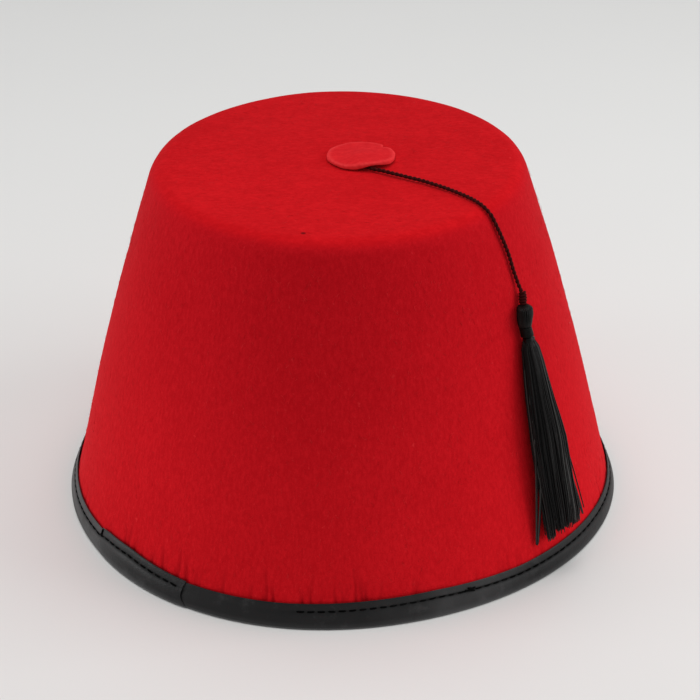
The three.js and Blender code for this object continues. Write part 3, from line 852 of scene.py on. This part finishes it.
# %% Fibres scattered over the felt
FIBRES = 6500
FIBRE_RADIUS = 0.035 * MM
SHORTEST_FIBRE, LONGER_FIBRES = 0.7 * MM, 1.9 * MM
FIBRE_BOW, FIBRE_SPREAD = 0.3, 1.9
LOWEST_FIBRE, FIBRE_BAND = 10.5 * MM, 111 * MM
THINNING = 0.65
FIBRE_RISE, STANDING_RISE, FIBRE_SUNK = 0.02 * MM, 0.4 * MM, 0.12 * MM
fibre_draw = np.random.default_rng(12)
top_share = FLAT_RADIUS**2 / (FLAT_RADIUS**2 + (RIM_RADIUS + CROWN_RADIUS) * CROWN_HEIGHT)
fibre_lines = []
for number in range(FIBRES):
    azimuth, pick, slant, length, lift, bow = fibre_draw.random(6)
    azimuth = TURN * azimuth
    length = SHORTEST_FIBRE + LONGER_FIBRES * length**2
    slant = FIBRE_SPREAD * (slant - 0.5)
    along = np.linspace(-0.5, 0.5, 4)[:, None] * length
    side = (bow - 0.5) * FIBRE_BOW * length * (1 - (2 * along / length) ** 2)
    if number < FIBRES * top_share:
        middle = on_hat(0.99 * FLAT_RADIUS * math.sqrt(pick), CROWN_HEIGHT, np.array(azimuth))
        run, out = np.array([math.cos(slant), math.sin(slant), 0]), np.array([0, 0, 1])
    else:
        up = (1 - math.sqrt(1 - THINNING * pick)) / (1 - math.sqrt(1 - THINNING))
        height = LOWEST_FIBRE + FIBRE_BAND * up
        middle, level, out = on_side(np.array(azimuth), np.array(height))
        run = math.cos(slant) * np.cross(out, level) + math.sin(slant) * level
    cross = np.cross(out, run)
    rise = (FIBRE_RISE + STANDING_RISE * lift**4) * (0.6 + along / length) - FIBRE_SUNK
    fibre_lines.append(middle + run * along + cross * side + out * rise)
felt_fibres = threads("felt_fibres", fibre_lines, FIBRE_RADIUS, sides=3, thin_ends=0.5, seed=9)
print("fibres:", FIBRES)

# %% [markdown]
# ## Shader sums written as Python
# A material is a web of nodes, which is slow to write one link at a time. This class holds one output
# socket. Sums on it add Math nodes, and one method adds any other node, with its settings and its inputs.

# %% A socket that can be added and multiplied
class Wire:
    def __init__(self, tree, socket=None):
        self.tree, self.socket = tree, socket

    def node(self, kind, settings=None, inputs=None, out=0):
        """Adds a node: its settings, then a value or a wire for each input, by name or number."""
        made = self.tree.nodes.new(kind)
        for name, value in (settings or {}).items():
            setattr(made, name, value)
        self.feed(made, inputs or {})
        return Wire(self.tree, made.outputs[out])

    def feed(self, made, inputs):
        for name, value in inputs.items():
            if isinstance(value, Wire):
                self.tree.links.new(value.socket, made.inputs[name])
            else:
                made.inputs[name].default_value = value

    def sum_of(self, operation, *values):
        return self.node("ShaderNodeMath", {"operation": operation}, dict(enumerate(values)))

    def __add__(self, other):
        return self.sum_of("ADD", self, other)

    def __sub__(self, other):
        return self.sum_of("SUBTRACT", self, other)

    def __mul__(self, other):
        return self.sum_of("MULTIPLY", self, other)

    __radd__ = __add__
    __rmul__ = __mul__

    def ramp(self, low, high, first=0.0, last=1.0):
        """Goes smoothly from first to last while this value goes from low to high."""
        return self.node("ShaderNodeMapRange", {"interpolation_type": "SMOOTHSTEP"},
                         {"Value": self, "From Min": low, "From Max": high, "To Min": first, "To Max": last})

    def blend(self, one, other):
        """Mixes two colours, this value being the share of the other."""
        return self.node("ShaderNodeMix", {"data_type": "RGBA"}, {0: self, 6: one, 7: other}, out=2)

    def axis(self, number):
        return self.node("ShaderNodeSeparateXYZ", inputs={0: self}, out=number)

    def values(self, name):
        """The values kept at a piece's points."""
        return self.node("ShaderNodeAttribute", {"attribute_name": name}, out=2)

    def stretched(self, x, y, z):
        return self.node("ShaderNodeVectorMath", {"operation": "MULTIPLY"}, {0: self, 1: (x, y, z)})

    def grain(self, size, detail=3, roughness=0.55, distortion=0.0):
        """Noise whose bumps are about the given size across."""
        return self.node("ShaderNodeTexNoise", {}, {"Vector": self, "Scale": 0.5 / size, "Detail": detail,
                                                    "Roughness": roughness, "Distortion": distortion})

    def bump(self, strength, depth):
        return self.node("ShaderNodeBump", {}, {"Strength": strength, "Distance": depth, "Height": self})


def material(name):
    """A new material: its shader, a wire for its tree and the wire of an object's own coordinates."""
    made = bpy.data.materials.new(name)
    made.use_nodes = True
    wire = Wire(made.node_tree)
    return made, made.node_tree.nodes["Principled BSDF"], wire.node("ShaderNodeTexCoord", out=3)


def grey(value):
    return value, value, value, 1


# %% [markdown]
# ## Red felt
# Felt has no weave, but brushing gives its matted fibres a direction: fine upright streaks on the wall and
# level ones on the top. Stretched noise makes both, and a finer noise adds specks and pits. The creases are
# painted darker, as painted shade, and the disc's frayed edge is paler. As painted light and shade, the foot
# of the wall is lighter and the wall under the crown darker, and the front of the top lighter than its back.

# %% The felt's material
FELT_COLOURS = (0.6, 0.0068, 0.0123, 1), (0.49, 0.0042, 0.0085, 1), (0.7, 0.025, 0.03, 1)
DISC_COLOURS = (0.68, 0.017, 0.024, 1), (0.57, 0.011, 0.018, 1), (0.82, 0.065, 0.075, 1)
SPECK_PLACE, SPECK_RADIUS = Vector((-11.8, -55.5, 127.8)) * MM, 1.1 * MM
SPECK_COLOUR = (0.05, 0.002, 0.003, 1)
# Colour of the painted shade in the felt's creases.
PAINTED_CREASE_SHADE = (0.3, 0.002, 0.005, 1)
FIBRE_COLOURS = (0.5, 0.007, 0.012, 1), (0.68, 0.032, 0.036, 1)


def felt_material(name, red, deep, fleck):
    made, shader, place = material(name)
    height, depth = place.axis(2), place.axis(1)
    on_top = height.ramp(CROWN_HEIGHT - 3 * MM, CROWN_HEIGHT - 0.3 * MM)
    upright = place.stretched(1, 1, 0.3).grain(0.5 * MM, detail=5, roughness=0.62)
    level = place.stretched(0.5, 1, 1).grain(0.55 * MM, detail=5, roughness=0.62)
    streak = upright + on_top * (level - upright)
    matted = place.grain(0.45 * MM, detail=4, roughness=0.7, distortion=1.4)
    cloudy = place.grain(16 * MM, detail=3)
    flecks = place.stretched(1, 1, 0.5).grain(0.5 * MM, detail=2, distortion=0.8).ramp(0.66, 0.8)
    broad = place.stretched(0.6, 1, 1).grain(1.8 * MM, detail=4, roughness=0.6)
    tone = 0.45 * streak + 0.4 * matted + 0.15 * cloudy + on_top * (0.36 * broad - 0.12 * matted - 0.12)
    colour = tone.ramp(0.39, 0.65).blend(deep, red)
    colour = (flecks * 0.55).blend(colour, fleck)
    away = place.node("ShaderNodeVectorMath", {"operation": "DISTANCE"}, {0: place, 1: SPECK_PLACE}, out=1)
    colour = away.ramp(0.4 * SPECK_RADIUS, SPECK_RADIUS, 0.75, 0).blend(colour, SPECK_COLOUR)
    # Painted shade: the felt is darkened along its creases.
    colour = (0.8 * place.values("crease")).blend(colour, PAINTED_CREASE_SHADE)
    colour = (0.5 * place.values("frayed")).blend(colour, fleck)
    # Painted light and shade: a lit copy of the colour at the foot of the wall and a shaded one under the
    # crown, a lit copy at the front of the top and a shaded one at its back.
    foot, painted_shade_under_crown = colour.stretched(1.1, 1.23, 1.17), colour.stretched(0.93, 0.93, 1)
    front, painted_shade_back = colour.stretched(1.06, 0.98, 0.9), colour.stretched(0.96, 0.9, 0.84)
    wall = height.ramp(24 * MM, 118 * MM).blend(foot, painted_shade_under_crown)
    top = depth.ramp(-60 * MM, 60 * MM).blend(front, painted_shade_back)
    relief = 0.5 * streak + 0.5 * matted + 0.15 * flecks
    place.feed(shader, {
        "Base Color": on_top.blend(wall, top),
        "Roughness": streak.ramp(0.3, 0.7, 0.98, 0.86),
        "Normal": relief.bump(0.4, 0.5 * MM),
        "Specular IOR Level": 0.03,
        "Sheen Weight": 0.12,
        "Sheen Roughness": 0.4,
        "Sheen Tint": (1, 0.16, 0.18, 1),
    })
    return made


red_felt = felt_material("red_felt", *FELT_COLOURS)
disc_felt = felt_material("disc_felt", *DISC_COLOURS)
fibre_red, shader, place = material("fibre_red")
place.feed(shader, {
    "Base Color": place.values("shade").ramp(0.2, 1).blend(*FIBRE_COLOURS),
    "Roughness": 0.85,
    "Specular IOR Level": 0.05,
})

# %% [markdown]
# ## Black tape
# The binding is thin leatherette: near black, dull, pebbled and a little buckled. Along its lower fold it is
# lighter, partly rubbed and partly a painted highlight, and scuffs break up its face. The seam's groove is
# painted dark, as painted shade, and a table of painted sheen makes it lighter at the left and the front
# right.

# %% The tape's material
PEBBLE_SIZE = 0.55 * MM

tape_black, shader, place = material("tape_black")
height = place.axis(2)
pebble = place.node("ShaderNodeTexVoronoi", {}, {"Vector": place, "Scale": 1 / PEBBLE_SIZE})
wrinkle = place.stretched(1, 1, 0.35).grain(1.4 * MM, detail=4)
scuff = place.grain(3.5 * MM, detail=5, roughness=0.65).ramp(0.55, 0.75)
buckle = place.stretched(1, 1, 0.6).grain(5 * MM, detail=2)
seam = place.values("seam")
# Partly rubbed wear and partly a painted highlight: lighter towards the tape's lower fold.
rubbed_and_painted_highlight = 0.45 * height.ramp(0.5 * MM, 2.8 * MM, 1, 0) * (0.4 + 0.6 * wrinkle)
# Scuffs are wear; the sheen values add painted sheen.
scuffs_and_painted_light = rubbed_and_painted_highlight + 0.35 * scuff + place.values("painted_sheen") * (2.4 * buckle - 0.2)
face = scuffs_and_painted_light.blend((0.004, 0.004, 0.0045, 1), (0.06, 0.06, 0.061, 1))
# Partly rubbed wear and partly a painted highlight: a pale line along the very bottom of the fold.
fold_rubbed_and_painted_highlight = height.ramp(0.5 * MM, 1 * MM, 0.8, 0).blend(face, grey(0.1))
place.feed(shader, {
    # Painted shade: the tape is darkened to near black in the seam's groove.
    "Base Color": seam.blend(fold_rubbed_and_painted_highlight, grey(0.001)),
    "Roughness": 0.4 + 0.14 * wrinkle + 0.1 * scuff + 0.4 * seam,
    "Normal": (0.35 * pebble + wrinkle + 1.5 * buckle).bump(0.4, 0.3 * MM),
    "Specular IOR Level": 0.25,
})

# %% [markdown]
# ## Black threads
# The cord is dull black cotton, painted a very dark red for the red light that the felt throws on it. The
# tassel is silky rayon that shines in thin lines. Every thread has its own shade, and a fine noise along it
# breaks the shine, as the plies of real thread do. A few of the skirt's threads are painted pale, as painted
# highlights.

# %% Materials of cord, stitches and tassel
DARK_SILK, LIGHT_SILK, PAINTED_HIGHLIGHT_THREAD = grey(0.002), (0.007, 0.007, 0.006, 1), (0.05, 0.05, 0.048, 1)
# Painted light: the cord is black cotton, and these dark reds stand for the felt's red light on it.
DARK_CORD, LIGHT_CORD = (0.026, 0.0012, 0.0012, 1), (0.052, 0.003, 0.003, 1)
COTTON_PLY, SILK_PLY = 0.18 * MM, 0.14 * MM


def thread_material(name, dark, light, roughness, ply, specular, painted_highlight_share=0.0):
    made, shader, place = material(name)
    tint = place.values("shade")
    fine = place.grain(ply, detail=3)
    colour = (0.7 * tint + 0.3 * fine).ramp(0.2, 0.9).blend(dark, light)
    place.feed(shader, {
        # Painted highlights: threads with the highest shades are painted pale, standing for lines of light on
        # the tassel.
        "Base Color": tint.ramp(0.84, 0.97, 0, painted_highlight_share).blend(colour, PAINTED_HIGHLIGHT_THREAD),
        "Roughness": roughness + 0.16 * fine,
        "Normal": fine.bump(0.3, 0.12 * MM),
        "Specular IOR Level": specular,
    })
    return made


cord_black = thread_material("cord_black", DARK_CORD, LIGHT_CORD, 0.62, COTTON_PLY, 0.07)
stitch_black = thread_material("stitch_black", grey(0.001), grey(0.004), 0.75, COTTON_PLY, 0.03)
silk_black = thread_material("silk_black", DARK_SILK, LIGHT_SILK, 0.3, SILK_PLY, 0.14)
skirt_black = thread_material("skirt_black", DARK_SILK, (0.007, 0.006, 0.006, 1), 0.3, SILK_PLY, 0.14, 0.85)

# %% [markdown]
# ## Dressing the model
# Each finished piece gets its material and rides on the hat's one body. A table lists the slot it is finished
# from and the node of the imported model that it stands for, and that node is hidden.

# %% Materials, bodies, slots and nodes
for piece, finish, slot, node in (
    (felt_crown, red_felt, "red_felt", "felt_body"),
    (felt_fibres, fibre_red, "red_felt", "felt_body"),
    (rim_tape, tape_black, "black_tape", "rim_binding"),
    (tape_lap, tape_black, "black_tape", "rim_binding"),
    (rim_stitches, stitch_black, "black_thread", "rim_binding"),
    (lap_stitches, stitch_black, "black_thread", "rim_binding"),
    (top_patch, disc_felt, "disc_felt", "top_disc"),
    (twisted_cord, cord_black, "black_cord", "cord"),
    (cord_knot, cord_black, "black_cord", "tassel_knot"),
    (tassel_core, silk_black, "black_thread", "tassel"),
    (tassel_head, silk_black, "black_thread", "tassel"),
    (tassel_skirt, skirt_black, "black_thread", "tassel"),
    (stray_threads, skirt_black, "black_thread", "tassel"),
    (neck_winding, silk_black, "wrap_thread", "tassel_neck_wrap"),
):
    piece.data.materials.clear()
    piece.data.materials.append(finish)
    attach(piece, "root")
    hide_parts(node)
    print(piece.name, len(piece.data.polygons), "faces")

# %% [markdown]
# ## Floor and light
# The hat stands on a plain pale floor. In the photograph the top and the two sides are lighter than the
# front, and nothing throws a hard shadow. So large soft lights stand at the right and above, a smaller one
# is low at the left, and a pale room fills in the rest.

# %% Floor
bpy.ops.mesh.primitive_plane_add(size=6, location=(0, 0, 0))
floor = bpy.context.object
floor.name = "floor"
floor_pale, shader, place = material("floor_pale")
place.feed(shader, {
    "Base Color": place.grain(60 * MM, detail=2).blend((0.78, 0.78, 0.77, 1), (0.8, 0.8, 0.79, 1)),
    "Roughness": 0.8,
})
floor.data.materials.append(floor_pale)
floor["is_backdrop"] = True

# %% Lights and room
ROOM_LIGHT = 0.43
LIT_POINT = Vector((0, 0, 0.06))


def soft_light(name, place, size, power):
    """A square light that faces the hat."""
    bpy.ops.object.light_add(type="AREA", location=place)
    lamp = bpy.context.object
    lamp.name = name
    lamp.data.size, lamp.data.energy = size, power
    lamp.rotation_euler = (Vector(place) - LIT_POINT).to_track_quat("Z", "Y").to_euler()


soft_light("light_right", (0.95, -0.1, 0.42), 0.7, 4.6)
soft_light("light_left", (-0.95, -0.1, 0.17), 0.32, 2.6)
soft_light("light_above", (0, 0.1, 1.1), 0.8, 5.2)

room = bpy.data.worlds.new("room")
room.use_nodes = True
bpy.context.scene.world = room
backdrop = room.node_tree.nodes["Background"]
backdrop.inputs["Color"].default_value = grey(1)
backdrop.inputs["Strength"].default_value = ROOM_LIGHT
bpy.context.scene.view_settings.view_transform = "Standard"

# %% Boxes, and the end
low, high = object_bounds()
